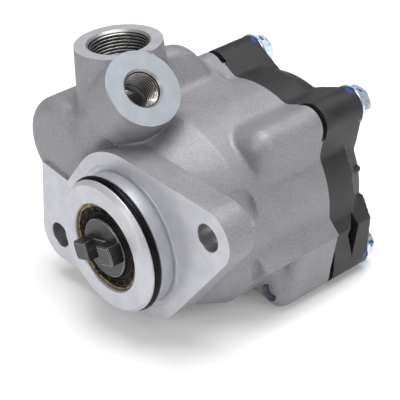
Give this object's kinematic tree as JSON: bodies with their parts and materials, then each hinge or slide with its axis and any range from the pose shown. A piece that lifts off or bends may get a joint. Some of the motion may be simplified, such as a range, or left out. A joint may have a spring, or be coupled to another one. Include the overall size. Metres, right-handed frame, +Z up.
{
  "type": "power steering pump",
  "caption": "Hydraulic vane pump for power steering: flange-mounted aluminium housing with threaded suction and pressure ports, drive tang, bolted dark rear cover and a flow-control valve.",
  "frame": {"origin": "centre of the pilot on the flange's mounting face", "axes": "+Y along the shaft from the drive end to the rear cover, +Z up along the suction port, +X to the right seen from the drive end"},
  "size_m": [0.1379, 0.1262, 0.1209],
  "materials": {
    "cast_aluminium": "fine-grained casting, machined faces brighter",
    "dark_cover": "dark satin coating",
    "zinc": "bluish zinc plate",
    "black_rubber": "smooth, slightly glossy",
    "seal_metal": "brown lacquered sheet steel",
    "seal_rubber": "dark brown, satin",
    "spring_steel": "drawn wire, oiled",
    "bearing_steel": "ground and polished",
    "pressed_steel": "pressed sheet",
    "shaft_steel": "dark grey, turned",
    "ground_steel": "ground",
    "sintered_iron": "lapped",
    "bush_bronze": "bored, dull"
  },
  "bodies": {
    "pump_body": {"housing": "cast_aluminium", "rear_cover": "dark_cover", "cover_bolts": "zinc", "pilot_o_ring": "black_rubber", "seal_case": "seal_metal", "seal_lip": "seal_rubber", "garter_spring": "spring_steel", "bearing_retaining_ring": "spring_steel", "bearing_outer_race": "bearing_steel", "cam_ring": "ground_steel", "front_side_plate": "sintered_iron", "rear_side_plate": "sintered_iron", "dowel_pins": "ground_steel", "front_plate_o_ring": "black_rubber", "rear_plate_o_ring": "black_rubber", "cover_o_ring": "black_rubber", "plate_spring": "spring_steel", "rear_bush": "bush_bronze", "valve_spring": "spring_steel", "valve_stop_ring": "spring_steel"},
    "rotating_group": {"drive_shaft": "shaft_steel", "rotor": "ground_steel", "rotor_retaining_ring": "spring_steel", "bearing_inner_race": "bearing_steel"},
    "ball_set": {"bearing_cage": "pressed_steel", "bearing_balls": "bearing_steel"},
    "vane_1_body": {"vane_1": "ground_steel"},
    "vane_2_body": {"vane_2": "ground_steel"},
    "vane_3_body": {"vane_3": "ground_steel"},
    "vane_4_body": {"vane_4": "ground_steel"},
    "vane_5_body": {"vane_5": "ground_steel"},
    "vane_6_body": {"vane_6": "ground_steel"},
    "vane_7_body": {"vane_7": "ground_steel"},
    "vane_8_body": {"vane_8": "ground_steel"},
    "vane_9_body": {"vane_9": "ground_steel"},
    "vane_10_body": {"vane_10": "ground_steel"},
    "spool_body": {"valve_spool": "ground_steel", "relief_seat": "ground_steel", "relief_spring": "spring_steel"},
    "relief_ball_body": {"relief_ball": "bearing_steel"}
  },
  "joints": [
    {"name": "shaft_spin", "type": "hinge", "parent": "pump_body", "child": "rotating_group", "pos_m": [0, 0, 0], "axis": [0, 1, 0], "continuous": true},
    {"name": "bearing_cage_spin", "type": "hinge", "parent": "pump_body", "child": "ball_set", "pos_m": [0, 0, 0], "axis": [0, 1, 0], "continuous": true},
    {"name": "vane_1_slide", "type": "slide", "parent": "rotating_group", "child": "vane_1_body", "axis": [1, 0, 0], "range_m": [0, 0.0021]},
    {"name": "vane_2_slide", "type": "slide", "parent": "rotating_group", "child": "vane_2_body", "axis": [0.809, 0, 0.5878], "range_m": [0, 0.00384]},
    {"name": "vane_3_slide", "type": "slide", "parent": "rotating_group", "child": "vane_3_body", "axis": [0.309, 0, 0.9511], "range_m": [0, 0.00312]},
    {"name": "vane_4_slide", "type": "slide", "parent": "rotating_group", "child": "vane_4_body", "axis": [-0.309, 0, 0.9511], "range_m": [0, 0.0012]},
    {"name": "vane_5_slide", "type": "slide", "parent": "rotating_group", "child": "vane_5_body", "axis": [-0.809, 0, 0.5878], "range_m": [0, 0.0007]},
    {"name": "vane_6_slide", "type": "slide", "parent": "rotating_group", "child": "vane_6_body", "axis": [-1, 0, 0], "range_m": [0, 0.0021]},
    {"name": "vane_7_slide", "type": "slide", "parent": "rotating_group", "child": "vane_7_body", "axis": [-0.809, 0, -0.5878], "range_m": [0, 0.00384]},
    {"name": "vane_8_slide", "type": "slide", "parent": "rotating_group", "child": "vane_8_body", "axis": [-0.309, 0, -0.9511], "range_m": [0, 0.00312]},
    {"name": "vane_9_slide", "type": "slide", "parent": "rotating_group", "child": "vane_9_body", "axis": [0.309, 0, -0.9511], "range_m": [0, 0.0012]},
    {"name": "vane_10_slide", "type": "slide", "parent": "rotating_group", "child": "vane_10_body", "axis": [0.809, 0, -0.5878], "range_m": [0, 0.0007]},
    {"name": "spool_slide", "type": "slide", "parent": "pump_body", "child": "spool_body", "axis": [-0.7478, 0, -0.6639], "range_m": [0, 0.006], "stiffness_N_per_m": 2000, "springref_m": -0.012, "deforming": ["valve_spring"]},
    {"name": "relief_lift", "type": "slide", "parent": "spool_body", "child": "relief_ball_body", "axis": [0.7478, 0, 0.6639], "range_m": [0, 0.001], "stiffness_N_per_m": 6000, "springref_m": -0.003, "deforming": ["relief_spring"]}
  ],
  "couplings": [
    {"joint": "bearing_cage_spin", "follows": "shaft_spin", "ratio": 0.3818}
  ]
}
